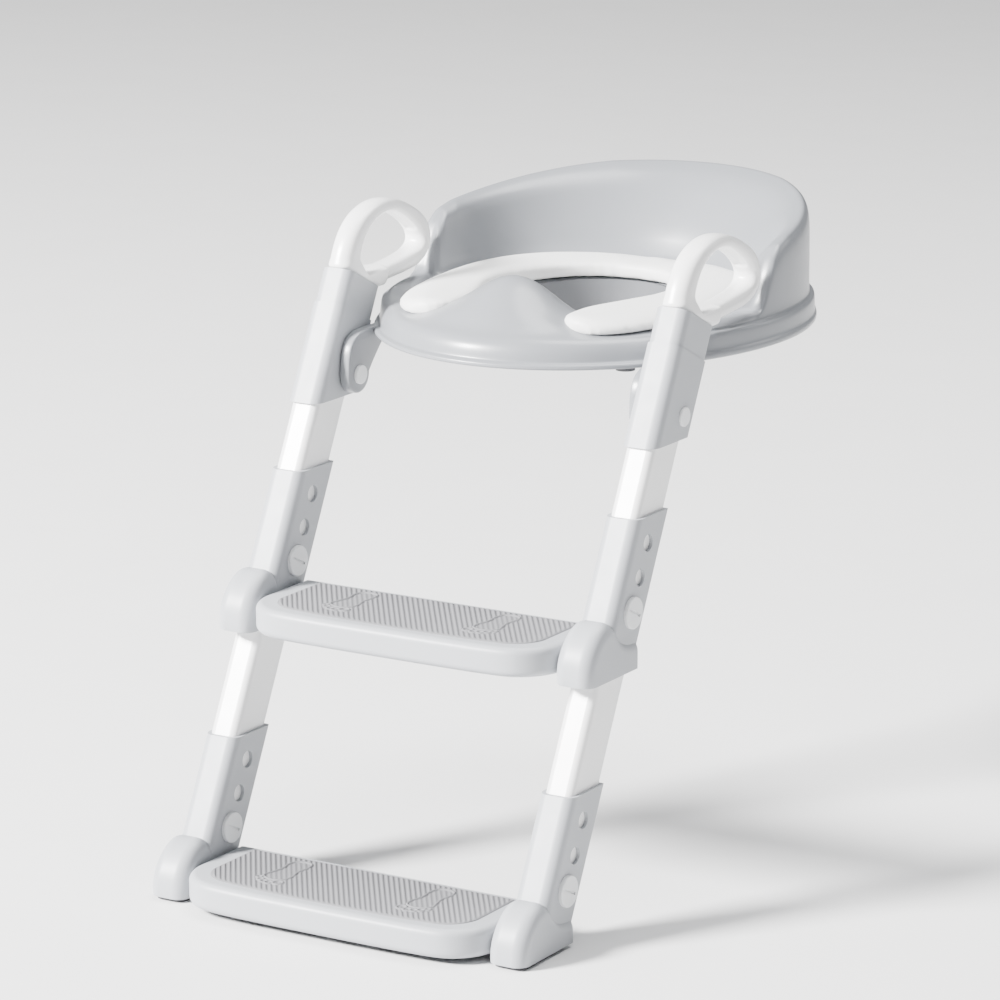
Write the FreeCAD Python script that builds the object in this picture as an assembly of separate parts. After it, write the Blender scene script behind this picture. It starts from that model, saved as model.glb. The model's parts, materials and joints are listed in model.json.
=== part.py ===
import FreeCAD, Part
import math
import os

# Toddler toilet seat on a folding two-step ladder.  Millimetres, +Z up, X across,
# +Y from the steps towards the toilet.  Origin: floor level under the middle of the object.
V = FreeCAD.Vector

# ---- overall layout ------------------------------------------------------------------
Y_ORIGIN = 294.05         # distance from the foot line to the origin
LEAN = 26.3               # lean of both legs from vertical, degrees
LEG_X = 160.3             # leg centre line, each side of the middle plane
UP_Y = math.sin(math.radians(LEAN))
UP_Z = math.cos(math.radians(LEAN))

# ---- legs: s runs up the leg, d runs through it from front to rear ----------------------
CASING_HALF_W = 16.0
CASING_FRONT, CASING_REAR = 9.1, 54.9
UPPER_REAR = 60.0
WALL = 3.1
RAIL_HALF_W = 12.8
RAIL_FRONT, RAIL_REAR = 12.3, 51.7
RAIL_WALL = 2.6
SLIDE_CLEARANCE = 0.08
STAGE = 227.7             # spacing of the two lower casings along the leg
HOLE_PITCH = 28.8
BOLT_S, BOLT_D = 69.6, 34.2
HOLE_R = 7.25             # seats of the adjusting bolts in the casing walls
SHANK_R = 5.0
RUN_CLEARANCE = 0.05
HEAD_R, HEAD_T = 13.0, 3.2
LOWER_TOP_Z, MID_BOTTOM_Z, MID_TOP_Z, UPPER_BOTTOM_Z = 120.4, 204.1, 324.5, 377.0
UPPER_TOP_S = 543.0
RAIL_BOTTOM_S = 55.0
RAIL_LENGTH = 217.0
UPPER_RAIL_TOP_S = 478.0
PIN_S, PIN_D = 462.8, 44.2
PAD_T = 3.0
SCREW_S, SCREW_DS = 35.8, (22.0, 42.0)
INNER_X = LEG_X - CASING_HALF_W
OUTER_X = LEG_X + CASING_HALF_W

# ---- steps ---------------------------------------------------------------------------
STEP_TOP, STEP_BOTTOM = 233.2, 209.0   # middle step; the bottom one is one stage lower
STEP_FRONT, STEP_REAR = 69.5, 172.0
STEP_SKIN = 3.2
TREAD_HALF_W, TREAD_FRONT, TREAD_REAR = 125.6, 81.0, 168.5
TREAD_T, TREAD_SINK = 3.0, 2.0

# ---- seat ----------------------------------------------------------------------------
SEAT_CY = 410.4
SEAT_HALF_W, SEAT_FRONT_R, SEAT_REAR_R = 178.6, 216.6, 209.0
FLANGE_Z, LIP_TOP, SKIRT_TOP = 426.5, 433.5, 448.5
BODY_TOP = 451.0
HOLE_HALF_W, HOLE_FRONT, HOLE_REAR = 76.0, 288.0, 482.0
CUSHION_TOP = 464.5
TAB_IN, TAB_OUT = 134.0, 143.5
SHELL_T = 3.2
BUCKET = [(392.0, 146.0, 143.0, 440.0), (396.0, 149.0, 156.0, 480.0), (403.0, 153.0, 172.0, 512.0),
          (406.0, 155.0, 182.0, 560.0)]   # inner face of the back wall, level by level
GRIP_T = 3.0

os.makedirs("parts", exist_ok=True)


def leg_placement(shift=0.0):
    """Frame of a leg: local X across, local Y through the leg (d), local Z up the leg (s)."""
    base = V(0, shift * UP_Y - Y_ORIGIN, shift * UP_Z)
    return FreeCAD.Placement(base, FreeCAD.Rotation(V(1, 0, 0), -LEAN))


def leg_box(x0, x1, s0, s1, d0, d1, r_front=0.0, r_rear=0.0):
    """Box in leg coordinates with its long edges rounded at the front and the rear."""
    box = Part.makeBox(x1 - x0, d1 - d0, s1 - s0, V(x0, d0, s0))
    for radius, d in ((r_front, d0), (r_rear, d1)):
        if radius > 0:
            long_edges = [e for e in box.Edges
                          if abs(e.Length - (s1 - s0)) < 1e-6
                          and all(abs(v.Y - d) < 1e-6 for v in e.Vertexes)
                          and abs(e.Vertexes[0].Z - e.Vertexes[1].Z) > 1e-3]
            box = box.makeFillet(radius, long_edges)
    box.Placement = leg_placement()
    return box


def leg_point(s, d, x=0.0):
    """A point given in leg coordinates, in the frame of the part."""
    return V(x, s * UP_Y + d * UP_Z - Y_ORIGIN, s * UP_Z - d * UP_Y)


def cross_pin(s, d, x0, x1, r):
    """Cylinder across the leg from x0 to x1."""
    low, high = min(x0, x1), max(x0, x1)
    return Part.makeCylinder(r, high - low, leg_point(s, d, low), V(1, 0, 0))


def slab(z0, z1):
    """Everything between two levels."""
    return Part.makeBox(800, 1600, z1 - z0, V(-400, -800, z0))


def mirror(shape):
    return shape.mirror(V(0, 0, 0), V(1, 0, 0))


def yz_prism(points, x0, x1, spline=False):
    """Closed outline in the YZ plane, given with y from the foot line, pulled along X."""
    pts = [V(x0, y - Y_ORIGIN, z) for y, z in points]
    if spline:
        curve = Part.BSplineCurve()
        curve.interpolate(pts, PeriodicFlag=True)
        wire = Part.Wire([curve.toShape()])
    else:
        wire = Part.makePolygon(pts + [pts[0]])
    return Part.Face(wire).extrude(V(x1 - x0, 0, 0))


def xy_prism(points, z0, z1):
    """Closed smooth outline in plan, pulled up from z0 to z1."""
    curve = Part.BSplineCurve()
    curve.interpolate([V(x, y - Y_ORIGIN, z0) for x, y in points], PeriodicFlag=True)
    return Part.Face(Part.Wire([curve.toShape()])).extrude(V(0, 0, z1 - z0))


def fillet_or_keep(shape, radius, edges):
    """Round the edges; a shape that can't take the radius stays sharp."""
    try:
        rounded = shape.makeFillet(radius, edges)
        if rounded.isValid() and rounded.Volume > 0:
            return rounded
    except Part.OCCError:
        pass
    return shape


def moved(shape, stage):
    """Copy shifted up the leg by whole stages."""
    copy = shape.copy()
    copy.translate(V(0, stage * STAGE * UP_Y, stage * STAGE * UP_Z))
    return copy


def export(name, *shapes):
    shape = shapes[0] if len(shapes) == 1 else Part.makeCompound(list(shapes))
    shape.exportStep(os.path.join("parts", name + ".step"))


def pair(name, right):
    """One node per side, from the right-hand shape."""
    export(name + "_right", right)
    export(name + "_left", mirror(right))


# ---- casings -------------------------------------------------------------------------
def foot_flare():
    """Toe-like swelling round the lower end of a casing, in the place of the foot."""
    side = [(-8.8, 0.0), (-9.6, 10.0), (-6.6, 22.0), (2.0, 34.5), (14.0, 43.5), (27.0, 46.0),
            (37.0, 39.5), (45.5, 30.5), (56.0, 26.5), (67.5, 25.5)]
    pts = [V(INNER_X, y - Y_ORIGIN, z) for y, z in side]
    curve = Part.BSplineCurve()
    curve.interpolate(pts)
    foot = Part.makePolygon([pts[-1], V(INNER_X, side[-1][0] - Y_ORIGIN, 0), pts[0]])
    face = Part.Face(Part.Wire([curve.toShape()] + foot.Edges))
    block = face.extrude(V(OUTER_X + 2.2 - INNER_X, 0, 0))
    swell = [e for e in block.Edges if e.Length > 90.0]
    for radius in (11.0, 9.0, 7.0):
        rounded = fillet_or_keep(block, radius, swell)
        if rounded is not block:
            return rounded
    return block


def ladder_casing(stage, bottom_z, top_z, through):
    """Grey tube of the lower (stage 0) or the middle (stage 1) ladder, right-hand side."""
    shift = stage * STAGE
    tube = leg_box(INNER_X, OUTER_X, shift - 40, shift + 200,
                   CASING_FRONT, CASING_REAR, 9.0, 2.5)
    body = tube.fuse(moved(foot_flare(), stage)).removeSplitter()
    body = body.common(slab(bottom_z, top_z))
    gap = SLIDE_CLEARANCE
    cavity_from = shift - 60 if through else 28.0
    body = body.cut(leg_box(LEG_X - RAIL_HALF_W - gap, LEG_X + RAIL_HALF_W + gap,
                            cavity_from, shift + 220,
                            RAIL_FRONT - gap, RAIL_REAR + gap, 6.0, 1.5))
    for k in range(3):
        body = body.cut(cross_pin(shift + BOLT_S + k * HOLE_PITCH, BOLT_D,
                                  INNER_X - 5, OUTER_X + 5, HOLE_R))
    for d in SCREW_DS:
        body = body.cut(cross_pin(shift + SCREW_S, d, INNER_X - 5, LEG_X, 2.0 + RUN_CLEARANCE))
    return body


lower_casing = ladder_casing(0, PAD_T, LOWER_TOP_Z, through=False)
middle_casing = ladder_casing(1, MID_BOTTOM_Z, MID_TOP_Z, through=True)
pair("lower_casing", lower_casing)
pair("middle_casing", middle_casing)

pad = yz_prism([(-5.5, 0), (-5.5, PAD_T), (64.5, PAD_T), (64.5, 0)], INNER_X + 3, OUTER_X - 1)
pad = fillet_or_keep(pad, 8.0, [e for e in pad.Edges if abs(e.Length - PAD_T) < 1e-6])
export("foot_pads", pad, mirror(pad))


# ---- rails ---------------------------------------------------------------------------
def rail(s0, s1):
    """Hollow white rail with an open fork at its foot that straddles the bolt."""
    outer = leg_box(LEG_X - RAIL_HALF_W, LEG_X + RAIL_HALF_W, s0, s1,
                    RAIL_FRONT, RAIL_REAR, 6.0, 1.5)
    inner = leg_box(LEG_X - RAIL_HALF_W + RAIL_WALL, LEG_X + RAIL_HALF_W - RAIL_WALL,
                    s0 - 1, s1 + 1, RAIL_FRONT + RAIL_WALL, RAIL_REAR - RAIL_WALL, 3.5, 0.8)
    slot_r = SHANK_R + RUN_CLEARANCE
    bolt_s = s0 + BOLT_S - RAIL_BOTTOM_S
    slot = leg_box(LEG_X - 20, LEG_X + 20, s0 - 1, bolt_s, BOLT_D - slot_r, BOLT_D + slot_r)
    slot = slot.fuse(cross_pin(bolt_s, BOLT_D, LEG_X - 20, LEG_X + 20, slot_r))
    return outer.cut(inner).cut(slot)


lower_rail = rail(RAIL_BOTTOM_S, RAIL_BOTTOM_S + RAIL_LENGTH)
for d in SCREW_DS:
    lower_rail = lower_rail.cut(cross_pin(STAGE + SCREW_S, d, LEG_X - 20, LEG_X, 2.05))
pair("lower_rail", lower_rail)
upper_rail = rail(STAGE + RAIL_BOTTOM_S, UPPER_RAIL_TOP_S)
upper_rail = upper_rail.cut(cross_pin(PIN_S, PIN_D, LEG_X - 20, LEG_X + 20,
                                      SHANK_R + RUN_CLEARANCE))
pair("upper_rail", upper_rail)


# ---- adjusting bolts, nuts and step screws -------------------------------------------
def coin_slot(shape, s, d, x, half_depth):
    """Straight slot across a round head, lying across the leg."""
    slot = leg_box(x - half_depth, x + half_depth, s - 1.1, s + 1.1, d - 9, d + 9)
    return shape.cut(slot)


def rim_rounded(shape, x_face, radius):
    edges = [e for e in shape.Edges if len(e.Vertexes) == 1 and abs(e.Vertexes[0].X - x_face) < 1e-6]
    return fillet_or_keep(shape, radius, edges)


def adjusting_bolt(stage):
    s = BOLT_S + stage * STAGE
    bolt = cross_pin(s, BOLT_D, OUTER_X, OUTER_X + HEAD_T, HEAD_R)
    bolt = rim_rounded(bolt, OUTER_X + HEAD_T, 1.0)
    bolt = bolt.fuse(cross_pin(s, BOLT_D, OUTER_X - WALL, OUTER_X, HOLE_R - RUN_CLEARANCE))
    bolt = bolt.fuse(cross_pin(s, BOLT_D, INNER_X - 1.0, OUTER_X, SHANK_R)).removeSplitter()
    return coin_slot(bolt, s, BOLT_D, OUTER_X + HEAD_T, 1.4)


def adjusting_nut(stage):
    s = BOLT_S + stage * STAGE
    nut = cross_pin(s, BOLT_D, INNER_X - HEAD_T, INNER_X, HEAD_R)
    nut = rim_rounded(nut, INNER_X - HEAD_T, 1.0)
    nut = nut.fuse(cross_pin(s, BOLT_D, INNER_X, INNER_X + WALL, HOLE_R - RUN_CLEARANCE))
    nut = nut.removeSplitter()
    nut = nut.cut(cross_pin(s, BOLT_D, INNER_X - 1.0, INNER_X + WALL + 1, SHANK_R + RUN_CLEARANCE))
    return coin_slot(nut, s, BOLT_D, INNER_X - HEAD_T, 1.2)


def step_screw(stage, d):
    """Pan-head screw from inside the casing through its inner wall into the step board."""
    s = SCREW_S + stage * STAGE
    seat = LEG_X - RAIL_HALF_W - SLIDE_CLEARANCE if stage == 0 else LEG_X - RAIL_HALF_W + RAIL_WALL
    head = cross_pin(s, d, seat, seat + 2.4, 3.9)
    return head.fuse(cross_pin(s, d, INNER_X - 9.0, seat, 2.0)).removeSplitter()


for stage, label in ((0, "lower"), (1, "middle")):
    bolt, nut = adjusting_bolt(stage), adjusting_nut(stage)
    export(label + "_adjusting_bolts", bolt, mirror(bolt))
    export(label + "_adjusting_nuts", nut, mirror(nut))
    screws = [step_screw(stage, d) for d in SCREW_DS]
    export(label + "_step_screws", *(screws + [mirror(screw) for screw in screws]))


# ---- steps ---------------------------------------------------------------------------
def rounded_front_outline(half_w, y_front, corner, bow):
    """Half-plan points of a step: slightly bowed front and big front corners."""
    right = [(0.0, y_front), (half_w * 0.5, y_front + bow * 0.3), (half_w - corner, y_front + bow)]
    for k in range(1, 5):
        a = math.radians(90.0 * k / 4.0)
        right.append((half_w - corner + corner * math.sin(a),
                      y_front + bow + corner * (1.0 - math.cos(a))))
    return right


def plan_solid(half_w, y_front, y_rear, corner, bow, z0, z1):
    """Closed solid with a smooth front curve and a straight rear edge."""
    right = rounded_front_outline(half_w, y_front, corner, bow)
    curve_points = [(-x, y) for x, y in reversed(right[1:])] + right
    curve = Part.BSplineCurve()
    curve.interpolate([V(x, y - Y_ORIGIN, z0) for x, y in curve_points])
    first, last = curve_points[0], curve_points[-1]
    back = Part.makePolygon([V(last[0], last[1] - Y_ORIGIN, z0), V(last[0], y_rear - Y_ORIGIN, z0),
                             V(first[0], y_rear - Y_ORIGIN, z0), V(first[0], first[1] - Y_ORIGIN, z0)])
    return Part.Face(Part.Wire([curve.toShape()] + back.Edges)).extrude(V(0, 0, z1 - z0))


def step_board():
    half_w = INNER_X - 0.05
    board = plan_solid(half_w, STEP_FRONT, STEP_REAR, 44.0, 2.0, STEP_BOTTOM, STEP_TOP)
    front_edges = [e for e in board.Edges if e.Length > 200
                   and min(v.Y for v in e.Vertexes) + Y_ORIGIN < STEP_REAR - 10]
    board = fillet_or_keep(board, 6.0, front_edges)
    hollow = plan_solid(half_w - 10.0, STEP_FRONT + STEP_SKIN + 3, STEP_REAR - STEP_SKIN, 36.0, 2.0,
                        STEP_BOTTOM - 1, STEP_TOP - TREAD_SINK - STEP_SKIN)
    for x in (-90.0, -45.0, 0.0, 45.0, 90.0):
        hollow = hollow.cut(Part.makeBox(2.4, 300, 60, V(x - 1.2, -300, STEP_BOTTOM - 2)))
    slant_rear = CASING_REAR - 0.5
    hollow = hollow.cut(leg_box(-200, 200, 150, 400, slant_rear - STEP_SKIN, 200))
    board = board.cut(hollow)
    board = board.cut(plan_solid(TREAD_HALF_W + 0.05, TREAD_FRONT - 0.05, TREAD_REAR + 0.05,
                                 30.0, 4.0, STEP_TOP - TREAD_SINK, STEP_TOP + 5))
    board = board.cut(leg_box(-200, 200, 150, 400, slant_rear, 200))
    for d in SCREW_DS:
        hole = cross_pin(STAGE + SCREW_S, d, INNER_X - 9.0, INNER_X + 1, 2.05)
        board = board.cut(hole).cut(mirror(hole))
    return board


def step_tread():
    tread = plan_solid(TREAD_HALF_W, TREAD_FRONT, TREAD_REAR, 30.0, 4.0,
                       STEP_TOP - TREAD_SINK, STEP_TOP - TREAD_SINK + TREAD_T)
    top_edges = [e for e in tread.Edges
                 if all(abs(v.Z - (STEP_TOP - TREAD_SINK + TREAD_T)) < 1e-6 for v in e.Vertexes)]
    return fillet_or_keep(tread, 0.6, top_edges)


board, tread = step_board(), step_tread()
export("middle_step_board", board)
export("middle_step_tread", tread)
export("bottom_step_board", moved(board, -1))
export("bottom_step_tread", moved(tread, -1))


# ---- upper casings, handles, hinge pins ----------------------------------------------
def upper_casing():
    body = leg_box(INNER_X, OUTER_X, 380, UPPER_TOP_S - 30, CASING_FRONT, UPPER_REAR, 9.0, 2.5)
    collar = leg_box(INNER_X + 0.9, OUTER_X - 0.9, UPPER_TOP_S - 40, UPPER_TOP_S,
                     CASING_FRONT + 1.0, UPPER_REAR - 0.8, 9.0, 2.5)
    body = body.fuse(collar).removeSplitter().common(slab(UPPER_BOTTOM_Z, 600))
    gap = SLIDE_CLEARANCE
    body = body.cut(leg_box(LEG_X - RAIL_HALF_W - gap, LEG_X + RAIL_HALF_W + gap, 370,
                            UPPER_RAIL_TOP_S + 0.5, RAIL_FRONT - gap, RAIL_REAR + gap, 6.0, 1.5))
    body = body.cut(cross_pin(PIN_S, PIN_D, INNER_X - 5, OUTER_X + 5, SHANK_R + RUN_CLEARANCE))
    body = body.cut(leg_box(LEG_X - 8.05, LEG_X + 8.05, UPPER_TOP_S - 28.0, UPPER_TOP_S + 5,
                            17.95, 48.05))
    screw = leg_point(UPPER_TOP_S - 14, UPPER_REAR + 5, LEG_X)
    toward_front = V(0, -UP_Z, UP_Y)
    body = body.cut(Part.makeCylinder(2.05, 40, screw, toward_front))
    return body.cut(Part.makeCylinder(4.0, 8.0, screw, toward_front))


def handle():
    """Loop grip: broad foot on the casing, tube arching over to a squared rear corner."""
    base_front = leg_point(UPPER_TOP_S, CASING_FRONT + 1.0)
    base_rear = leg_point(UPPER_TOP_S, UPPER_REAR - 1.5)
    outline = [(base_front.y + Y_ORIGIN, base_front.z), (257.0, 499.0), (266.5, 512.5),
               (280.0, 522.8), (296.0, 529.0), (312.0, 531.4), (328.0, 530.2), (344.0, 526.0),
               (360.0, 519.3), (374.0, 511.5), (383.0, 503.5), (386.3, 494.0), (385.0, 481.0),
               (379.0, 469.5), (366.0, 463.2), (345.0, 460.6), (318.0, 459.2), (304.0, 458.6),
               (base_rear.y + Y_ORIGIN, base_rear.z)]
    pts = [V(LEG_X - 12.4, y - Y_ORIGIN, z) for y, z in outline]
    curve = Part.BSplineCurve()
    curve.interpolate(pts)
    wire = Part.Wire([curve.toShape(), Part.LineSegment(pts[-1], pts[0]).toShape()])
    grip = Part.Face(wire).extrude(V(24.8, 0, 0))
    opening = yz_prism([(276.4, 477.0), (276.8, 487.0), (282.0, 499.0), (290.0, 508.5),
                        (301.0, 515.3), (314.0, 518.6), (327.0, 517.8), (340.0, 513.2),
                        (353.0, 506.2), (364.0, 498.4), (370.6, 491.0), (369.5, 484.6),
                        (360.0, 480.6), (340.0, 477.6), (318.0, 475.4), (298.0, 473.6),
                        (283.0, 472.6)], LEG_X - 20, LEG_X + 20, spline=True)
    grip = grip.cut(opening)
    rims = [e for e in grip.Edges
            if (all(abs(v.X - (LEG_X - 12.4)) < 1e-6 for v in e.Vertexes)
                or all(abs(v.X - (LEG_X + 12.4)) < 1e-6 for v in e.Vertexes)) and e.Length > 80]
    for radius in (6.0, 5.2, 4.0):
        rounded = fillet_or_keep(grip, radius, rims)
        if rounded is not grip:
            grip = rounded
            break
    plug = leg_box(LEG_X - 8.0, LEG_X + 8.0, UPPER_TOP_S - 26.0, UPPER_TOP_S + 4, 18.0, 48.0)
    grip = grip.fuse(plug).removeSplitter()
    screw = leg_point(UPPER_TOP_S - 14, UPPER_REAR + 5, LEG_X)
    return grip.cut(Part.makeCylinder(2.05, 31.0, screw, V(0, -UP_Z, UP_Y)))


pair("upper_casing", upper_casing())
pair("handle", handle())

toward_front = V(0, -UP_Z, UP_Y)
screw_head = leg_point(UPPER_TOP_S - 14, UPPER_REAR - 1.0, LEG_X)
screw_end = leg_point(UPPER_TOP_S - 14, UPPER_REAR - 3.0, LEG_X)
screw = Part.makeCylinder(3.9, 2.0, screw_head, toward_front)
screw = screw.fuse(Part.makeCylinder(2.0, 22.0, screw_end, toward_front)).removeSplitter()
export("handle_screws", screw, mirror(screw))

pin = cross_pin(PIN_S, PIN_D, OUTER_X, OUTER_X + 1.8, 8.0)
pin = rim_rounded(pin, OUTER_X + 1.8, 0.8)
pin = pin.fuse(cross_pin(PIN_S, PIN_D, TAB_IN - 2.0, OUTER_X, SHANK_R)).removeSplitter()
export("hinge_pins", pin, mirror(pin))
cap = cross_pin(PIN_S, PIN_D, TAB_IN - 3.0, TAB_IN - 0.1, 8.0)
cap = rim_rounded(cap, TAB_IN - 3.0, 0.8)
cap = cap.cut(cross_pin(PIN_S, PIN_D, TAB_IN - 2.0, TAB_IN + 1, SHANK_R))
export("hinge_caps", cap, mirror(cap))


# ---- seat ----------------------------------------------------------------------------
def seat_plan(inset, z0, z1):
    """Prism on the egg-shaped plan of the seat, moved inwards by the inset."""
    a, front, rear = SEAT_HALF_W - inset, SEAT_FRONT_R - inset, SEAT_REAR_R - inset
    points = []
    for k in range(40):
        t = 2 * math.pi * k / 40
        points.append((a * math.cos(t), SEAT_CY + (rear if math.sin(t) > 0 else front) * math.sin(t)))
    return xy_prism(points, z0, z1)


def ellipse_prism(cx, cy, ax, ay, z0, z1):
    points = [(cx + ax * math.cos(2 * math.pi * k / 24), cy + ay * math.sin(2 * math.pi * k / 24))
              for k in range(24)]
    return xy_prism(points, z0, z1)


def plan_loft(levels, grow=0.0):
    """Smooth solid through ellipses given as (centre y, half width, half length, z)."""
    wires = []
    for cy, ax, ay, z in levels:
        curve = Part.BSplineCurve()
        turns = [2 * math.pi * k / 24 for k in range(24)]
        curve.interpolate([V((ax + grow) * math.cos(t), cy - Y_ORIGIN + (ay + grow) * math.sin(t), z)
                           for t in turns], PeriodicFlag=True)
        wires.append(Part.Wire([curve.toShape()]))
    return Part.makeLoft(wires, True)


def below_rim(drop):
    """Everything under the rim line of the back wall, seen from the side."""
    line = [(640, 534), (600, 534), (580, 531.5), (560, 528), (513, 521), (472, 515), (430, 510),
            (412, 504), (402, 494), (396, 480), (392, 464), (388, 456.2), (380, 455.5),
            (300, 455), (285, 452)]
    ends = [(285 + drop, 420), (640, 420)]
    return yz_prism([(y + (drop if y < 600 else 0), z - drop) for y, z in line] + ends, -200, 200)


def back_wall():
    """High wall round the rear, falling towards the handles, leaning in on its inner side."""
    wall = seat_plan(6.5, LIP_TOP - 1, 560).cut(plan_loft(BUCKET))
    return wall.common(below_rim(0.0))


def wall_hollow():
    """Space inside the double back wall, open at the bottom."""
    space = seat_plan(6.5 + SHELL_T, FLANGE_Z - 1, 560).cut(plan_loft(BUCKET, SHELL_T))
    return space.common(below_rim(SHELL_T + 0.5)).common(
        Part.makeBox(500, 500, 200, V(-250, 392 - Y_ORIGIN, FLANGE_Z - 1)))


def hump(shrink, sink):
    """Splash guard between the arms of the cushion."""
    arch = [(-72, 440), (-66, 452), (-50, 464), (-32, 477), (-15, 485.5), (0, 488),
            (15, 485.5), (32, 477), (50, 464), (66, 452), (72, 440)]
    arch = [(x * shrink, z - sink) for x, z in arch]
    face = Part.Face(Part.makePolygon([V(x, 200 - Y_ORIGIN, z) for x, z in arch + arch[:1]]))
    side = [(216, 440), (224, 457), (238, 473), (254, 484), (269.5, 488.5), (280, 483), (284, 470),
            (287, 455), (290, 440)]
    side = [(253 + (y - 253) * shrink, z - sink) for y, z in side]
    return face.extrude(V(0, 110, 0)).common(yz_prism(side, -80, 80))


def front_body():
    """Domed front under the cushion, rising in the middle to the splash hump."""
    layers = [seat_plan(9.0, LIP_TOP - 0.5, 441.0), seat_plan(12.0, 440.5, 446.0),
              seat_plan(18.0, 445.5, BODY_TOP)]
    return layers[0].fuse(layers[1]).fuse(layers[2]).fuse(hump(1.0, 0.0))


def body_hollow():
    """Space under the seat between the hole wall and the rim."""
    layers = [seat_plan(22.0, FLANGE_Z - 1, 443.0), seat_plan(26.0, 442.5, BODY_TOP - SHELL_T)]
    core = ellipse_prism(0, (HOLE_FRONT + HOLE_REAR) / 2, HOLE_HALF_W + SHELL_T,
                         (HOLE_REAR - HOLE_FRONT) / 2 + SHELL_T, FLANGE_Z - 5, 600)
    space = layers[0].fuse(layers[1]).fuse(hump(0.9, 4.0)).cut(core)
    for x, y in STUDS:
        space = space.cut(Part.makeCylinder(7.0, 40, V(x, y - Y_ORIGIN, FLANGE_Z - 5)))
    return space


def hinge_tab():
    pin_y = leg_point(PIN_S, PIN_D).y + Y_ORIGIN
    pin_z = leg_point(PIN_S, PIN_D).z
    outline = []
    for k in range(9):
        a = math.radians(180 + 180 * k / 8)
        outline.append((pin_y + 16 * math.cos(a), pin_z + 16 * math.sin(a)))
    outline += [(268.0, 404.0), (285.0, 420.0), (306.0, 427.5), (306.0, LIP_TOP),
                (252.0, LIP_TOP), (240.0, 428.0), (231.5, 418.0), (229.0, 406.0)]
    return yz_prism(outline, TAB_IN, TAB_OUT)


def seat_shell():
    flange = seat_plan(0.0, FLANGE_Z, LIP_TOP)
    skirt = seat_plan(2.0, LIP_TOP - 0.5, SKIRT_TOP)
    skirt = skirt.common(Part.makeBox(500, 500, 100, V(-250, 300 - Y_ORIGIN, 400)))
    shell = flange.fuse(skirt).fuse(front_body()).fuse(back_wall())
    shell = shell.cut(body_hollow()).cut(wall_hollow())
    shell = shell.cut(cushion_outline_prism(1.5, BODY_TOP, 480))
    shell = shell.cut(ellipse_prism(0, (HOLE_FRONT + HOLE_REAR) / 2, HOLE_HALF_W,
                                    (HOLE_REAR - HOLE_FRONT) / 2, FLANGE_Z - 30, 600))
    tab = hinge_tab()
    shell = shell.fuse(tab).fuse(mirror(tab)).removeSplitter()
    shell = shell.cut(cross_pin(PIN_S, PIN_D, -250, 250, SHANK_R + RUN_CLEARANCE))
    keep_out = leg_box(TAB_OUT, 250, 380, 700, -50, UPPER_REAR + 1.2)
    shell = shell.cut(keep_out).cut(mirror(keep_out))
    grip_room = Part.makeBox(60, 140, 120, V(146.2, 250 - Y_ORIGIN, 456.5))
    shell = shell.cut(grip_room).cut(mirror(grip_room))
    for x, y in STUDS:
        shell = shell.cut(Part.makeCylinder(3.05, 30, V(x, y - Y_ORIGIN, 436.0)))
    return shell


STUDS = [(-108.0, 330.0), (108.0, 330.0), (-100.0, 450.0), (100.0, 450.0), (0.0, 507.0)]
CUSHION_OUTLINE = [(0, 532), (45, 528.5), (88, 511), (120, 476), (136.5, 430), (139, 385),
                   (134, 338), (122, 295), (105, 262), (90, 247), (77, 245), (68, 256),
                   (60, 274), (58, 292), (64, 315), (73, 345), (78.5, 385), (77, 425),
                   (66, 456), (44, 477), (0, 485)]


def cushion_outline_prism(grow, z0, z1):
    """Horseshoe plan of the cushion, moved outwards by grow, pulled up from z0 to z1."""
    points = CUSHION_OUTLINE + [(-x, y) for x, y in reversed(CUSHION_OUTLINE[1:-1])]
    grown = []
    for k, (x, y) in enumerate(points):
        before, after = points[k - 1], points[(k + 1) % len(points)]
        dx, dy = after[0] - before[0], after[1] - before[1]
        length = math.hypot(dx, dy)
        grown.append((x - grow * dy / length, y + grow * dx / length))
    return xy_prism(grown, z0, z1)


def cushion():
    body = cushion_outline_prism(0.0, BODY_TOP + 0.2, CUSHION_TOP)
    top = [e for e in body.Edges if all(abs(v.Z - CUSHION_TOP) < 1e-6 for v in e.Vertexes)]
    body = fillet_or_keep(body, 4.0, top)
    for x, y in STUDS:
        body = body.cut(Part.makeCylinder(3.05, 6.0, V(x, y - Y_ORIGIN, BODY_TOP - 1)))
    return body


export("seat_shell", seat_shell())
export("seat_cushion", cushion())
export("cushion_studs", *[Part.makeCylinder(3.0, BODY_TOP + 4.5 - 436.0, V(x, y - Y_ORIGIN, 436.0))
                          for x, y in STUDS])

hole_cy, hole_ry = (HOLE_FRONT + HOLE_REAR) / 2, (HOLE_REAR - HOLE_FRONT) / 2
ring = ellipse_prism(0, hole_cy, HOLE_HALF_W - 0.05, hole_ry - 0.05, 409.5, 449.0)
export("splash_ring", ring.cut(ellipse_prism(0, hole_cy, HOLE_HALF_W - 3.2, hole_ry - 3.2, 400, 460)))

grips = []
for x, y in ((-112, 262), (112, 262), (-128, 535), (128, 535)):
    grips.append(Part.makeCylinder(8.0, GRIP_T, V(x, y - Y_ORIGIN, FLANGE_Z - GRIP_T)))
export("seat_grips", *grips)
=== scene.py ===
import json
import math
import bpy
import bmesh
from mathutils import Matrix, Vector


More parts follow.
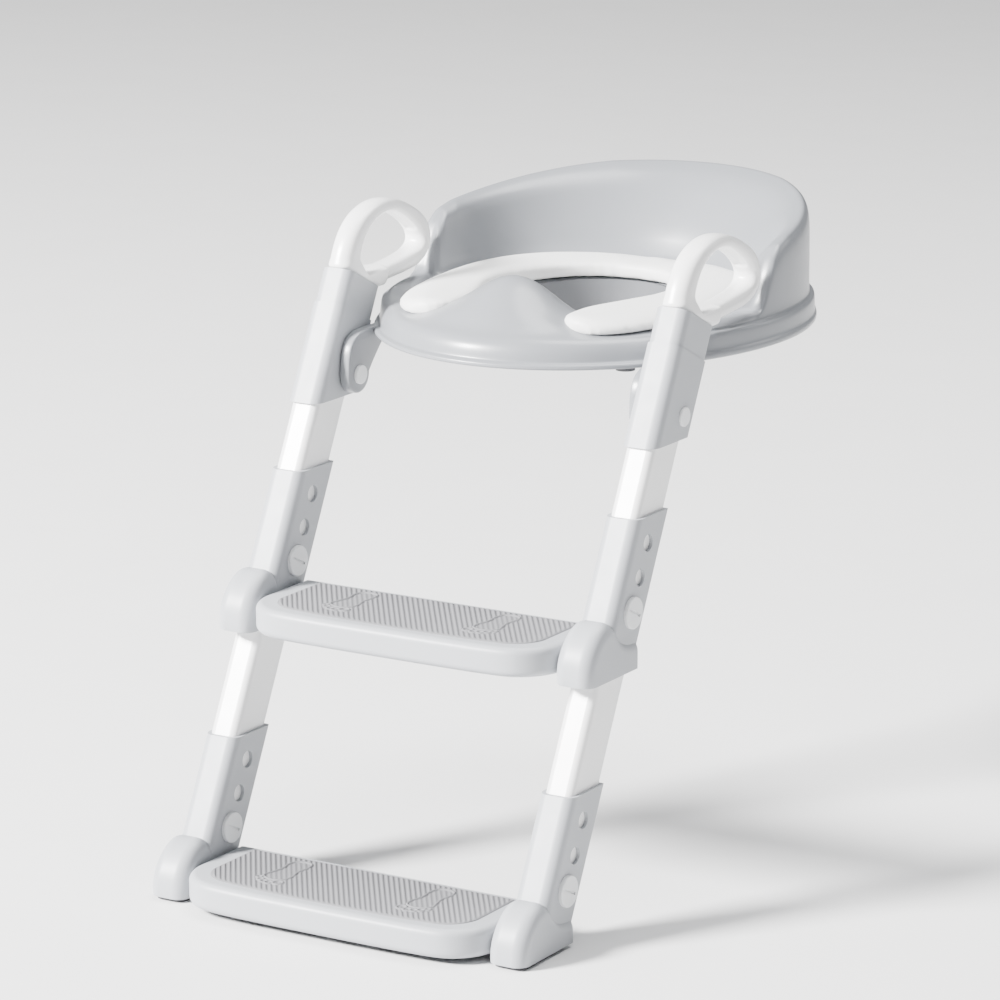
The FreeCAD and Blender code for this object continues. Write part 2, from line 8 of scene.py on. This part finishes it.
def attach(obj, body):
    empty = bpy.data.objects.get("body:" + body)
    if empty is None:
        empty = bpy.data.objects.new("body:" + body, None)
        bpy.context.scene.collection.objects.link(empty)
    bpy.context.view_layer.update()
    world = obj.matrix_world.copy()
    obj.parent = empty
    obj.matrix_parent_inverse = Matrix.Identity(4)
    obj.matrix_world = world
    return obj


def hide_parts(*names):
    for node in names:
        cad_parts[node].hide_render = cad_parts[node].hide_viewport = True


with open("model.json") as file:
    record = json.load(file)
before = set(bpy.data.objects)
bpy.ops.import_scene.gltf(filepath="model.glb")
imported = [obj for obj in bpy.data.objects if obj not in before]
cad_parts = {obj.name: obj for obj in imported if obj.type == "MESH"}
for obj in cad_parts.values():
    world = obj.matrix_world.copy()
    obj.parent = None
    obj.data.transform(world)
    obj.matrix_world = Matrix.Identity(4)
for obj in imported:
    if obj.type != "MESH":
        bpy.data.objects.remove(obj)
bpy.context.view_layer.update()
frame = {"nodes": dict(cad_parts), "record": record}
NODES = frame["nodes"]

# All shapes below are worked out in millimetres from the foot line, then moved to the frame.
MM = 0.001
Y_ORIGIN = 294.05                      # foot line to the frame's origin
LEAN = math.radians(26.3)              # ladder frame, from upright
STAGE = 227.7                          # from one step to the next, along the ladder


def to_frame(x, y, z):
    """Point in metres in the shared frame from millimetres from the foot line."""
    return Vector((x, y - Y_ORIGIN, z)) * MM


def smoothstep(a, b, v):
    """0 up to a, 1 from b on, and an even curve between."""
    t = min(1.0, max(0.0, (v - a) / (b - a)))
    return t * t * (3.0 - 2.0 * t)


def lerp(a, b, t):
    return a + (b - a) * t


def table_value(table, v):
    """Value at v, straight between (position, value) pairs in rising order."""
    if v <= table[0][0]:
        return table[0][1]
    for (p, a), (q, b) in zip(table, table[1:]):
        if v <= q:
            return lerp(a, b, (v - p) / (q - p))
    return table[-1][1]


def catmull(points, n):
    """n + 1 evenly spaced points on a smooth open curve through the given points."""
    pts = [Vector(p) for p in points]
    pts = [2 * pts[0] - pts[1]] + pts + [2 * pts[-1] - pts[-2]]
    fine_steps = 24
    fine = []
    for i in range(1, len(pts) - 2):
        p0, p1, p2, p3 = pts[i - 1:i + 3]
        for k in range(fine_steps):
            t = k / fine_steps
            fine.append(0.5 * (2 * p1 + (p2 - p0) * t + (2 * p0 - 5 * p1 + 4 * p2 - p3) * t * t
                               + (3 * p1 - p0 - 3 * p2 + p3) * t ** 3))
    fine.append(pts[-2])
    along = [0.0]
    for a, b in zip(fine, fine[1:]):
        along.append(along[-1] + (b - a).length)
    out, j = [], 0
    for k in range(n + 1):
        want = along[-1] * k / n
        while j < len(fine) - 2 and along[j + 1] < want:
            j += 1
        span = along[j + 1] - along[j]
        out.append(fine[j].lerp(fine[j + 1], (want - along[j]) / span if span else 0.0))
    return out


def flat_curve(points, n):
    """The same for points in a plane, given and returned as pairs."""
    return [(v.x, v.y) for v in catmull([(a, b, 0) for a, b in points], n)]


def new_object(name, verts, faces, smooth=True):
    """Linked mesh object with doubled points merged and faces turned outwards."""
    mesh = bpy.data.meshes.new(name)
    mesh.from_pydata([tuple(v) for v in verts], [], faces)
    mesh.update()
    bm = bmesh.new()
    bm.from_mesh(mesh)
    bmesh.ops.remove_doubles(bm, verts=bm.verts, dist=1e-6)
    bmesh.ops.recalc_face_normals(bm, faces=bm.faces)
    bm.to_mesh(mesh)
    bm.free()
    mesh.polygons.foreach_set("use_smooth", [smooth] * len(mesh.polygons))
    obj = bpy.data.objects.new(name, mesh)
    bpy.context.scene.collection.objects.link(obj)
    return obj


def grid_faces(rows, cols, wrap_rows=False, wrap_cols=False):
    """Quads of a grid of points stored row by row, closed round on either side if asked."""
    faces = []
    for r in range(rows if wrap_rows else rows - 1):
        for c in range(cols if wrap_cols else cols - 1):
            r2, c2 = (r + 1) % rows, (c + 1) % cols
            faces.append((r * cols + c, r * cols + c2, r2 * cols + c2, r2 * cols + c))
    return faces


# ---- materials -----------------------------------------------------------------------
def noise_texture(tree, coord, scale, detail):
    tex = tree.nodes.new("ShaderNodeTexNoise")
    tex.inputs["Scale"].default_value = scale
    tex.inputs["Detail"].default_value = detail
    tree.links.new(coord.outputs["Object"], tex.inputs["Vector"])
    return tex


def plastic(name, colour, rough, grain=0.05, grain_scale=1400.0, mottle=0.03, coat=0.0, spec=0.5):
    """Moulded plastic: faint mottling, fine moulded grain and uneven sheen."""
    mat = bpy.data.materials.new(name)
    mat.use_nodes = True
    tree = mat.node_tree
    bsdf = tree.nodes["Principled BSDF"]
    coord = tree.nodes.new("ShaderNodeTexCoord")
    cloudy = noise_texture(tree, coord, 9.0, 5.0)
    sheen = noise_texture(tree, coord, 60.0, 4.0)
    fine = noise_texture(tree, coord, grain_scale, 2.0)
    ramp = tree.nodes.new("ShaderNodeValToRGB")
    dark, light = ramp.color_ramp.elements
    dark.position, light.position = 0.3, 0.7
    dark.color = (*(max(0.0, c * (1.0 - mottle)) for c in colour), 1.0)
    light.color = (*(min(1.0, c * (1.0 + mottle)) for c in colour), 1.0)
    spread = tree.nodes.new("ShaderNodeMapRange")
    spread.inputs["To Min"].default_value = rough - 0.05
    spread.inputs["To Max"].default_value = rough + 0.05
    bump = tree.nodes.new("ShaderNodeBump")
    bump.inputs["Strength"].default_value = grain
    bump.inputs["Distance"].default_value = 0.0004
    tree.links.new(cloudy.outputs["Fac"], ramp.inputs["Fac"])
    tree.links.new(ramp.outputs["Color"], bsdf.inputs["Base Color"])
    tree.links.new(sheen.outputs["Fac"], spread.inputs["Value"])
    tree.links.new(spread.outputs["Result"], bsdf.inputs["Roughness"])
    tree.links.new(fine.outputs["Fac"], bump.inputs["Height"])
    tree.links.new(bump.outputs["Normal"], bsdf.inputs["Normal"])
    bsdf.inputs["Specular IOR Level"].default_value = spec
    bsdf.inputs["Coat Weight"].default_value = coat
    bsdf.inputs["Coat Roughness"].default_value = 0.15
    return mat


GREY = plastic("grey_plastic", (0.37, 0.383, 0.405), 0.42, 0.10, 1600.0, 0.02)
SEAT_GREY = plastic("seat_plastic", (0.22, 0.23, 0.247), 0.33, 0.05, 1800.0, 0.02, coat=0.15)
INNER_GREY = plastic("inner_plastic", (0.13, 0.135, 0.145), 0.45, 0.06, 1600.0, 0.03)
WHITE = plastic("white_plastic", (0.86, 0.86, 0.86), 0.30, 0.03, 1500.0, 0.01, coat=0.15)
BOLT = plastic("bolt_plastic", (0.72, 0.73, 0.74), 0.32, 0.04, 1500.0, 0.015, coat=0.1)
TREAD = plastic("tread_rubber", (0.19, 0.19, 0.20), 0.62, 0.25, 900.0, 0.05, spec=0.3)
RUBBER = plastic("pad_rubber", (0.09, 0.09, 0.095), 0.75, 0.30, 700.0, 0.10, spec=0.25)
CUSHION = plastic("cushion_skin", (0.84, 0.84, 0.83), 0.46, 0.22, 520.0, 0.015, spec=0.4)
STEEL = plastic("screw_steel", (0.45, 0.45, 0.46), 0.35, 0.05, 900.0, 0.05)
STEEL.node_tree.nodes["Principled BSDF"].inputs["Metallic"].default_value = 1.0

SLOT_MATERIALS = {"grey_plastic": GREY, "inner_plastic": INNER_GREY, "white_plastic": WHITE,
                  "bolt_plastic": BOLT, "tread_rubber": TREAD, "pad_rubber": RUBBER,
                  "cushion_skin": CUSHION, "screw_steel": STEEL}

for part in frame["record"]["subparts"]:
    obj = NODES[part["node"]]
    obj.data.materials.clear()
    obj.data.materials.append(SLOT_MATERIALS[part["material_slot"]])


def finish_piece(obj, body, slot, material, *replaced):
    """Gives a visible piece its material, the body it moves with and the nodes it stands for."""
    obj.data.materials.clear()
    obj.data.materials.append(material)
    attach(obj, body)
    if replaced:
        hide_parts(*replaced)


def subdivide(obj, levels):
    mod = obj.modifiers.new("smooth", "SUBSURF")
    mod.levels = mod.render_levels = levels


# ---- seat shell ----------------------------------------------------------------------
SEAT_CY, HALF_W, FRONT_R, REAR_R = 410.4, 178.6, 216.6, 209.0
HOLE = (385.0, 76.0, 97.0)                 # centre, half width and half length
BODY_TOP, BODY_EDGE = 450.8, 449.8         # top of the body, and its edge above the flange
BODY_EDGE_INSET = 15.0
UNDER_Z = 433.0                            # underside between the hole and the flange
HUMP_RISE, HUMP_WIDTH = 37.8, 36.5
HUMP = [(200, 0.0), (208, 0.06), (218, 0.18), (230, 0.36), (245, 0.66), (258, 0.87), (268, 0.97),
        (277, 1.0), (283, 0.93), (288, 0.72), (291, 0.45)]
# Level of the wall's rim, from its front ends to the rear.
RIM = [(380, 455.5), (388, 457), (394, 468), (400, 484), (408, 497), (420, 506), (440, 511),
       (472, 515.5), (513, 521.5), (560, 528.5), (585, 532), (620, 534)]
# Flange from the underside up: inset at the front and at the sides, level at the front and at the sides.
FLANGE = [(24.0, 24.0, UNDER_Z, UNDER_Z), (21.0, 21.0, 427.5, 427.5), (20.0, 20.0, 426.5, 426.5),
          (1.6, 1.6, 426.5, 426.5), (0.0, 0.0, 427.8, 427.8), (0.0, 0.0, 430.4, 432.0),
          (1.2, 1.0, 431.6, 433.2), (4.8, 1.8, 431.9, 434.0), (5.4, 1.8, 433.0, 440.0),
          (6.4, 2.0, 438.0, 447.2), (8.0, 3.0, 442.6, 448.6), (11.0, 6.2, 446.6, 448.9),
          (BODY_EDGE_INSET, 6.8, 449.4, BODY_EDGE)]
# Outer face of the wall and over its rim: inset, and share of the rise to the rim.
WALL = [(6.9, 0.25), (7.0, 0.55), (7.2, 0.82), (8.6, 0.95), (11.5, 1.0), (15.0, 1.005), (18.5, 0.98)]


def plan(angle, inset):
    """Point of the seat outline moved inwards."""
    c, s = math.cos(angle), math.sin(angle)
    return (HALF_W - inset) * c, SEAT_CY + ((REAR_R if s > 0 else FRONT_R) - inset) * s


def oval(angle, cy, ax, ay):
    return ax * math.cos(angle), cy + ay * math.sin(angle)


def between(a, b, t):
    """Point of the plan between two others."""
    return lerp(a[0], b[0], t), lerp(a[1], b[1], t)


def hump_height(x, y):
    """Level of the front body, with the splash hump between the cushion's arms."""
    rise = table_value(HUMP, y) * (1.0 - smoothstep(300, 360, y))
    return BODY_TOP + HUMP_RISE * rise * math.exp(-x * x / (2 * HUMP_WIDTH ** 2))


def shell_section(angle):
    """Closed profile of the shell at one plan angle, from the underside round to the hole."""
    _, y_out = plan(angle, 6.5)
    side = smoothstep(285, 330, y_out)            # 0 in the front body, 1 at the sides and rear
    wall = smoothstep(372, 384, y_out)            # 1 where the wall stands
    rim = table_value(RIM, y_out)

    def hole(grow):
        cy, ax, ay = HOLE
        return oval(angle, cy, ax + grow, ay + grow)

    def body(t):
        """Point of the front body, from its edge at 0 to the hole at 1."""
        return between(plan(angle, BODY_EDGE_INSET), hole(4), t)

    points = [(*hole(10), UNDER_Z)]
    for front_inset, side_inset, front_z, side_z in FLANGE:
        points.append((*plan(angle, lerp(front_inset, side_inset, side)), lerp(front_z, side_z, side)))
    for k, (inset, part) in enumerate(WALL):
        t = (k + 1) / (len(WALL) + 4)
        x, y = between(body(t), plan(angle, lerp(inset, 6.8 + 2.0 * k, 1 - wall)), side)
        body_z = lerp(BODY_EDGE, hump_height(x, y), max(smoothstep(0.0, 0.25, t), 0.35))
        points.append((x, y, lerp(body_z, lerp(BODY_EDGE, rim, part), side)))
    # inner face of the wall, down to the cushion's bed
    low = oval(angle, 392.0, 145.0, 144.0)
    top = oval(angle, 404.0, 153.5, 175.0)
    for ring, part, t in ((top, 0.90, 0.72), (between(top, low, 0.45), 0.6, 0.80), (low, 0.28, 0.88),
                          (between(low, hole(24), 0.10), 0.0, 0.93)):
        x, y = between(body(t), ring, side)
        points.append((x, y, lerp(hump_height(x, y), lerp(BODY_TOP, rim, part), side)))
    # rounded edge and side of the hole
    points.append((*hole(4), hump_height(*hole(4))))
    points.append((*hole(1), hump_height(*hole(1)) - 1.2 - 4.0 * (1 - side)))
    points.append((*hole(0.6), lerp(440.0, 446.0, side)))
    points.append((*hole(0.6), 432.0))
    points.append((*hole(3.0), 430.5))
    return points


def seat_form():
    turns = 400
    rows = [shell_section(2 * math.pi * (k + 0.5) / turns) for k in range(turns)]
    verts = [to_frame(*p) for row in rows for p in row]
    obj = new_object("seat_form", verts, grid_faces(turns, len(rows[0]), True, True))
    subdivide(obj, 1)
    return obj


finish_piece(seat_form(), "seat", "grey_plastic", SEAT_GREY, "seat_shell")


# ---- hinge tabs ----------------------------------------------------------------------
PIN_ALONG, PIN_OFF = 462.8, 44.2       # hinge pin along the leg and off its line
PIN_Y = PIN_ALONG * math.sin(LEAN) + PIN_OFF * math.cos(LEAN)
PIN_Z = PIN_ALONG * math.cos(LEAN) - PIN_OFF * math.sin(LEAN)
TAB_R = 16.0
TAB_IN, TAB_OUT = 134.0, 143.5


def prism_piece(name, outline, x0, x1, bevel):
    """Plate across X from a closed YZ outline, with softened edges."""
    n = len(outline)
    verts = [to_frame(x, y, z) for x in (x0, x1) for y, z in outline]
    faces = [tuple(range(n)), tuple(range(2 * n - 1, n - 1, -1))]
    faces += [(k, (k + 1) % n, n + (k + 1) % n, n + k) for k in range(n)]
    obj = new_object(name, verts, faces)
    mod = obj.modifiers.new("soft_edges", "BEVEL")
    mod.width, mod.segments, mod.limit_method = bevel * MM, 3, "ANGLE"
    mod.angle_limit = math.radians(40)
    return obj


def hinge_tab(side, label):
    """Tab under the flange, round about the pin and curved up into the seat."""
    outline = [(PIN_Y + TAB_R * math.cos(a), PIN_Z + TAB_R * math.sin(a))
               for a in (math.radians(180 + 180 * k / 16) for k in range(17))]
    rear = flat_curve([(PIN_Y + TAB_R, PIN_Z), (268, 404), (285, 420), (306, 427.5)], 12)
    front = flat_curve([(306, 432), (262, 432), (247, 430.5), (236, 424.5), (230, 412),
                        (PIN_Y - TAB_R, PIN_Z)], 20)
    x0, x1 = sorted((side * TAB_IN, side * TAB_OUT))
    tab = prism_piece("hinge_tab_" + label, outline + rear[1:] + front[:-1], x0, x1, 1.6)
    finish_piece(tab, "seat", "grey_plastic", SEAT_GREY)


hinge_tab(-1, "left")
hinge_tab(1, "right")


# ---- handles -------------------------------------------------------------------------
LEG_X = 160.3
GRIP_HALF, FOOT_HALF = 11.6, 15.0      # half thickness of the loop and of its foot on the casing
GRIP_POWER, FOOT_POWER = 0.86, 0.42    # 1 is a round section, smaller is squarer
GROOVE_DEEP = 3.4
# Outlines (y, z) of the loop seen from the side, and the point inside that they are traced from.
HANDLE_OUTER = [(249.7, 482.3), (257, 499), (266.5, 512.5), (280, 522.8), (296, 529), (312, 531.4),
                (328, 530.2), (344, 526), (360, 519.3), (373, 512), (382, 503.8), (386, 494),
                (385, 481.5), (378, 471.5), (366, 465.8), (348, 463.2), (328, 461.6), (312, 460.4),
                (303, 459.2), (293, 459.6)]
HANDLE_HOLE = [(276.2, 477), (276.8, 487), (282, 499), (290, 508.5), (301, 515.3), (314, 518.6),
               (327, 517.8), (340, 513.2), (353, 506.2), (364, 498.4), (370.6, 491), (369.5, 484.6),
               (360, 480.6), (340, 477.6), (318, 475.4), (298, 473.6), (283, 472.6)]
HANDLE_EYE = (318.0, 494.0)


def along_ray(loop, angle):
    """Distance from the eye of the handle to a closed outline in the given direction."""
    dy, dz = math.cos(angle), math.sin(angle)
    best = 0.0
    for a, b in zip(loop, loop[1:] + loop[:1]):
        ay, az = a[0] - HANDLE_EYE[0], a[1] - HANDLE_EYE[1]
        ey, ez = b[0] - a[0], b[1] - a[1]
        det = dz * ey - dy * ez
        if abs(det) < 1e-9:
            continue
        reach, part = (ey * az - ez * ay) / det, (dy * az - dz * ay) / det
        if reach > 0 and -1e-6 <= part <= 1 + 1e-6:
            best = max(best, reach)
    return best


def handle_form(label, side):
    """Loop grip: full round tube, wider where it stands on the casing, hollowed at the rear."""
    outer = flat_curve(HANDLE_OUTER, 150)
    hole = flat_curve(HANDLE_HOLE + HANDLE_HOLE[:1], 150)
    turns, cols = 200, 40
    verts = []
    for k in range(turns):
        angle = 2 * math.pi * k / turns
        near, far = along_ray(hole[:-1], angle), along_ray(outer, angle)
        degrees = math.degrees(angle) % 360
        foot = smoothstep(183, 206, degrees) * (1 - smoothstep(246, 262, degrees))
        half = lerp(GRIP_HALF, FOOT_HALF, foot)
        power = lerp(GRIP_POWER, FOOT_POWER, foot)
        middle, reach = (near + far) / 2, (far - near) / 2
        groove = GROOVE_DEEP * smoothstep(2, 5, degrees) * (1 - smoothstep(52, 74, degrees))
        for c in range(cols):
            a = 2 * math.pi * c / cols
            ca, sa = math.cos(a), math.sin(a)
            out = math.copysign(abs(ca) ** power, ca)
            across = half * math.copysign(abs(sa) ** power, sa)
            dent = groove * (1 - smoothstep(4.6, 6.4, abs(across))) if ca < 0 else 0.0
            r = middle + reach * out + dent
            verts.append(to_frame(side * LEG_X + across, HANDLE_EYE[0] + r * math.cos(angle),
                                  HANDLE_EYE[1] + r * math.sin(angle)))
    obj = new_object("handle_form_" + label, verts, grid_faces(turns, cols, True, True))
    subdivide(obj, 1)
    finish_piece(obj, "upper_ladder", "white_plastic", WHITE, "handle_" + label)


handle_form("left", -1)
handle_form("right", 1)


# ---- cushion -------------------------------------------------------------------------
CUSHION_OUTER = [(76, 245.5), (93, 249.5), (108, 262), (121, 287), (130.5, 322), (136.5, 362),
                 (138, 400), (135.5, 432), (126, 465), (107, 494), (80, 514), (45, 527.5), (0, 532)]
CUSHION_INNER = [(76, 245.5), (64, 250), (55.5, 260), (52.5, 278), (54, 300), (61.5, 323),
                 (71, 355), (74.5, 386), (72, 408), (63, 433), (48, 455), (27, 470), (0, 475)]


CUSHION_BASE = 451.2
# Section of the cover. "i" is a distance in from the inner edge, "o" from the outer edge and "m" a
# share of the width; the last number is the level.
CUSHION_SECTION = [("i", 2.0, 451.3), ("i", 0.3, 453.2), ("i", 0.0, 456.5), ("i", 0.2, 460.0),
                   ("i", 1.2, 462.6), ("i", 3.6, 464.0), ("i", 9.0, 464.7), ("m", 0.4, 464.9),
                   ("m", 0.52, 464.9), ("o", 25.0, 464.4), ("o", 18.0, 463.5), ("o", 11.5, 461.9),
                   ("o", 6.0, 459.6), ("o", 2.2, 456.8), ("o", 0.4, 454.2), ("o", 0.5, 452.4),
                   ("o", 3.0, 451.3), ("m", 0.6, CUSHION_BASE), ("m", 0.3, CUSHION_BASE)]
FULL_WIDTH = 46.0                      # narrower stretches have a smaller edge radius
END_ROWS = 6.0                         # rows over which the arm tips swell to full height


def whole_curve(half, n):
    """Curve over both sides from the points of one side, tip to middle."""
    left = [(-x, y, 0.0) for x, y in half]
    right = [(x, y, 0.0) for x, y in reversed(half[:-1])]
    return catmull(left + right, n)


def cushion_form():
    """Horseshoe cover, swept along between its two edges."""
    n = 150
    outer, inner = whole_curve(CUSHION_OUTER, n), whole_curve(CUSHION_INNER, n)
    verts = []
    for k in range(1, n):
        a, b = inner[k], outer[k]
        width = (b - a).length
        end = min(1.0, min(k, n - k) / END_ROWS)
        swell = math.sqrt(max(0.05, 1 - (1 - end) ** 2))
        squeeze = min(1.0, width / FULL_WIDTH) / width
        for kind, value, z in CUSHION_SECTION:
            t = {"m": value, "i": value * squeeze, "o": 1 - value * squeeze}[kind]
            spot = a.lerp(b, t)
            verts.append(to_frame(spot.x, spot.y, CUSHION_BASE + (z - CUSHION_BASE) * swell))
    rows, cols = n - 1, len(CUSHION_SECTION)
    faces = grid_faces(rows, cols, False, True)
    faces += [tuple(range(cols)), tuple((rows - 1) * cols + c for c in reversed(range(cols)))]
    return new_object("cushion_form", verts, faces)


def apply_modifiers(obj):
    deps = bpy.context.evaluated_depsgraph_get()
    mesh = bpy.data.meshes.new_from_object(obj.evaluated_get(deps))
    obj.modifiers.clear()
    obj.data = mesh


FILL_FRAMES = 20


def inflate(obj, voxel, pressure, cap):
    """Fills the cover with pressure, moving no point further than the cap."""
    mod = obj.modifiers.new("even", "REMESH")
    mod.mode, mod.voxel_size = "VOXEL", voxel
    apply_modifiers(obj)
    rest = [v.co.copy() for v in obj.data.vertices]
    cloth = obj.modifiers.new("fill", "CLOTH")
    cloth.settings.use_pressure = True
    cloth.settings.uniform_pressure_force = pressure
    cloth.settings.effector_weights.gravity = 0.0
    cloth.settings.tension_stiffness = cloth.settings.compression_stiffness = 40.0
    cloth.point_cache.frame_start, cloth.point_cache.frame_end = 1, FILL_FRAMES
    for step in range(1, FILL_FRAMES + 1):
        bpy.context.scene.frame_set(step)
    deps = bpy.context.evaluated_depsgraph_get()
    blown = obj.evaluated_get(deps).data
    moved = [v.co.copy() for v in blown.vertices]
    obj.modifiers.clear()
    bpy.context.scene.frame_set(1)
    floor = min(v.z for v in rest)
    for vert, a, b in zip(obj.data.vertices, rest, moved):
        shift = b - a
        if shift.length > cap:
            shift *= cap / shift.length
        vert.co = a + shift
        vert.co.z = max(vert.co.z, floor)
    smooth = obj.modifiers.new("relax", "SMOOTH")
    smooth.factor, smooth.iterations = 0.5, 4
    subdivide(obj, 1)
    apply_modifiers(obj)
    obj.data.polygons.foreach_set("use_smooth", [True] * len(obj.data.polygons))
    return obj


cushion = inflate(cushion_form(), voxel=0.0035, pressure=4.0, cap=0.0012)
finish_piece(cushion, "seat", "cushion_skin", CUSHION, "seat_cushion")


# ---- treads --------------------------------------------------------------------------
TREAD_TOP, TREAD_THICK = 233.9, 2.6
TREAD_HALF, TREAD_FRONT, TREAD_REAR = 125.6, 81.0, 168.5
TREAD_BOW, TREAD_CORNER = 4.0, 30.0
RIB_PITCH, RIB_HIGH, LINE_HIGH = 4.1, 0.7, 1.15
RIB_SLANT = (0.825, 0.565)             # direction across the ribs
FOOT_X, FOOT_Y = 68.0, 134.0           # middle of each footprint
FOOT_OUTLINE = [(0, -27), (9, -24), (11.5, -15), (9.5, -3), (12, 10), (14, 19), (7, 25), (-3, 26.5),
                (-11, 22), (-12.5, 12), (-9.5, 0), (-11, -14), (-8.5, -24)]
TOES = [(-10.5, 31.5, 4.6), (-2.5, 34.5, 3.6), (4.0, 33.5, 3.2), (9.6, 30.3, 3.0), (14.0, 25.8, 2.7)]


def outline_distance(points, x, y):
    """Distance to a closed outline, negative inside."""
    best, inside = 1e9, False
    for (ax, ay), (bx, by) in zip(points, points[1:] + points[:1]):
        dx, dy = bx - ax, by - ay
        t = min(1.0, max(0.0, ((x - ax) * dx + (y - ay) * dy) / (dx * dx + dy * dy)))
        best = min(best, math.hypot(x - ax - t * dx, y - ay - t * dy))
        if (ay > y) != (by > y) and x < ax + (y - ay) * dx / dy:
            inside = not inside
    return -best if inside else best


SOLE = flat_curve(FOOT_OUTLINE + FOOT_OUTLINE[:1], 40)[:-1]


def footprint(x, y):
    """Signed distance to the nearer bare footprint; the toes point to the front."""
    best = 1e9
    for side in (-1, 1):
        px, py = (x - side * FOOT_X) * side * 1.15, (FOOT_Y - y) * 1.05
        if abs(px) < 26 and abs(py) < 48:
            best = min(best, outline_distance(SOLE, px, py))
            for tx, ty, r in TOES:
                best = min(best, math.hypot(px - tx, py - ty) - r)
    return best


def rib_level(x, y):
    """Height of the tread face above its base: slanting ribs, smooth outlined footprints."""
    across = (x * RIB_SLANT[0] + y * RIB_SLANT[1]) / RIB_PITCH
    rib = RIB_HIGH * smoothstep(-0.3, 0.5, math.cos(2 * math.pi * across))
    near = footprint(x, y)
    line = LINE_HIGH * (1.0 - smoothstep(0.55, 1.25, abs(near)))
    beside = smoothstep(1.2, 2.2, abs(near))
    inside = 0.55 if near < 0 else 1.0
    return max(rib * beside * inside, line)


def tread_front(x):
    """Front edge of the tread in plan, bowed with round corners."""
    straight = TREAD_HALF - TREAD_CORNER
    over = abs(x) - straight
    if over <= 0:
        return TREAD_FRONT + TREAD_BOW * (x / straight) ** 2
    round_off = TREAD_CORNER - math.sqrt(max(0.0, TREAD_CORNER ** 2 - over * over))
    return TREAD_FRONT + TREAD_BOW + round_off


def tread_form(name):
    """Ribbed pad: a fine grid on top and plain sides down to the board."""
    cols, rows = 420, 150
    verts = []
    for c in range(cols + 1):
        x = lerp(-TREAD_HALF, TREAD_HALF, c / cols)
        front = tread_front(x)
        verts.append(to_frame(x, front, TREAD_TOP - TREAD_THICK))
        for r in range(rows + 1):
            y = lerp(front, TREAD_REAR, r / rows)
            edge = min(y - front, TREAD_REAR - y, TREAD_HALF - abs(x))
            top = TREAD_TOP + rib_level(x, y) * smoothstep(1.0, 3.0, edge)
            verts.append(to_frame(x, y, top - 0.7 * (1 - smoothstep(0.0, 1.2, edge))))
        verts.append(to_frame(x, TREAD_REAR, TREAD_TOP - TREAD_THICK))
    n = rows + 3
    faces = grid_faces(cols + 1, n, False, True)
    faces += [tuple(range(n)), tuple(cols * n + k for k in reversed(range(n)))]
    return new_object(name, verts, faces)


middle_tread = tread_form("middle_tread_form")
bottom_tread = middle_tread.copy()
bottom_tread.name = "bottom_tread_form"
bottom_tread.data = middle_tread.data.copy()
bottom_tread.data.transform(Matrix.Translation(
    Vector((0, -STAGE * math.sin(LEAN), -STAGE * math.cos(LEAN))) * MM))
bpy.context.scene.collection.objects.link(bottom_tread)
finish_piece(middle_tread, "middle_ladder", "tread_rubber", TREAD, "middle_step_tread")
finish_piece(bottom_tread, "lower_ladder", "tread_rubber", TREAD, "bottom_step_tread")


# ---- camera, floor, light ------------------------------------------------------------
CAMERA_PLACE = (1.9905, -3.0273 - Y_ORIGIN * MM, 1.2388)
CAMERA_TURN, CAMERA_DIP = math.radians(31.27), math.radians(13.715)
CAMERA_LENS = 171.75
FLOOR_HALF, FLOOR_Z = 8.0, -0.0002     # the floor lies just under the feet


def add_camera():
    data = bpy.data.cameras.new("camera")
    data.lens, data.sensor_width = CAMERA_LENS, 36.0
    data.clip_end = 50.0
    cam = bpy.data.objects.new("camera", data)
    cam.location = CAMERA_PLACE
    look = Vector((-math.sin(CAMERA_TURN) * math.cos(CAMERA_DIP),
                   math.cos(CAMERA_TURN) * math.cos(CAMERA_DIP), -math.sin(CAMERA_DIP)))
    cam.rotation_euler = look.to_track_quat("-Z", "Y").to_euler()
    bpy.context.scene.collection.objects.link(cam)
    bpy.context.scene.camera = cam


def add_floor():
    corners = [(x * FLOOR_HALF, y * FLOOR_HALF, FLOOR_Z) for x, y in ((-1, -1), (1, -1), (1, 1), (-1, 1))]
    floor = new_object("floor", corners, [(0, 1, 2, 3)], smooth=False)
    floor.data.materials.append(plastic("floor_surface", (0.80, 0.80, 0.80), 0.55, 0.02, 300.0, 0.01))


def area_light(name, place, target, size, power, tint=(1.0, 1.0, 1.0)):
    data = bpy.data.lights.new(name, "AREA")
    data.shape, data.size, data.energy, data.color = "DISK", size, power, tint
    light = bpy.data.objects.new(name, data)
    light.location = place
    light.rotation_euler = (Vector(target) - Vector(place)).to_track_quat("-Z", "Y").to_euler()
    bpy.context.scene.collection.objects.link(light)


def add_light():
    world = bpy.data.worlds.new("studio")
    world.use_nodes = True
    background = world.node_tree.nodes["Background"]
    background.inputs["Color"].default_value = (0.95, 0.97, 1.0, 1.0)
    background.inputs["Strength"].default_value = 0.27
    bpy.context.scene.world = world
    area_light("key", (-3.8, -4.9, 4.1), (0, 0, 0.25), 1.9, 3600.0, (1.0, 0.99, 0.98))
    area_light("top", (0.3, 1.0, 4.2), (0, 0, 0.3), 2.4, 200.0)
    area_light("back", (1.6, 2.0, 1.6), (0, 0, 0.4), 1.2, 12.0)


add_camera()
add_floor()
add_light()
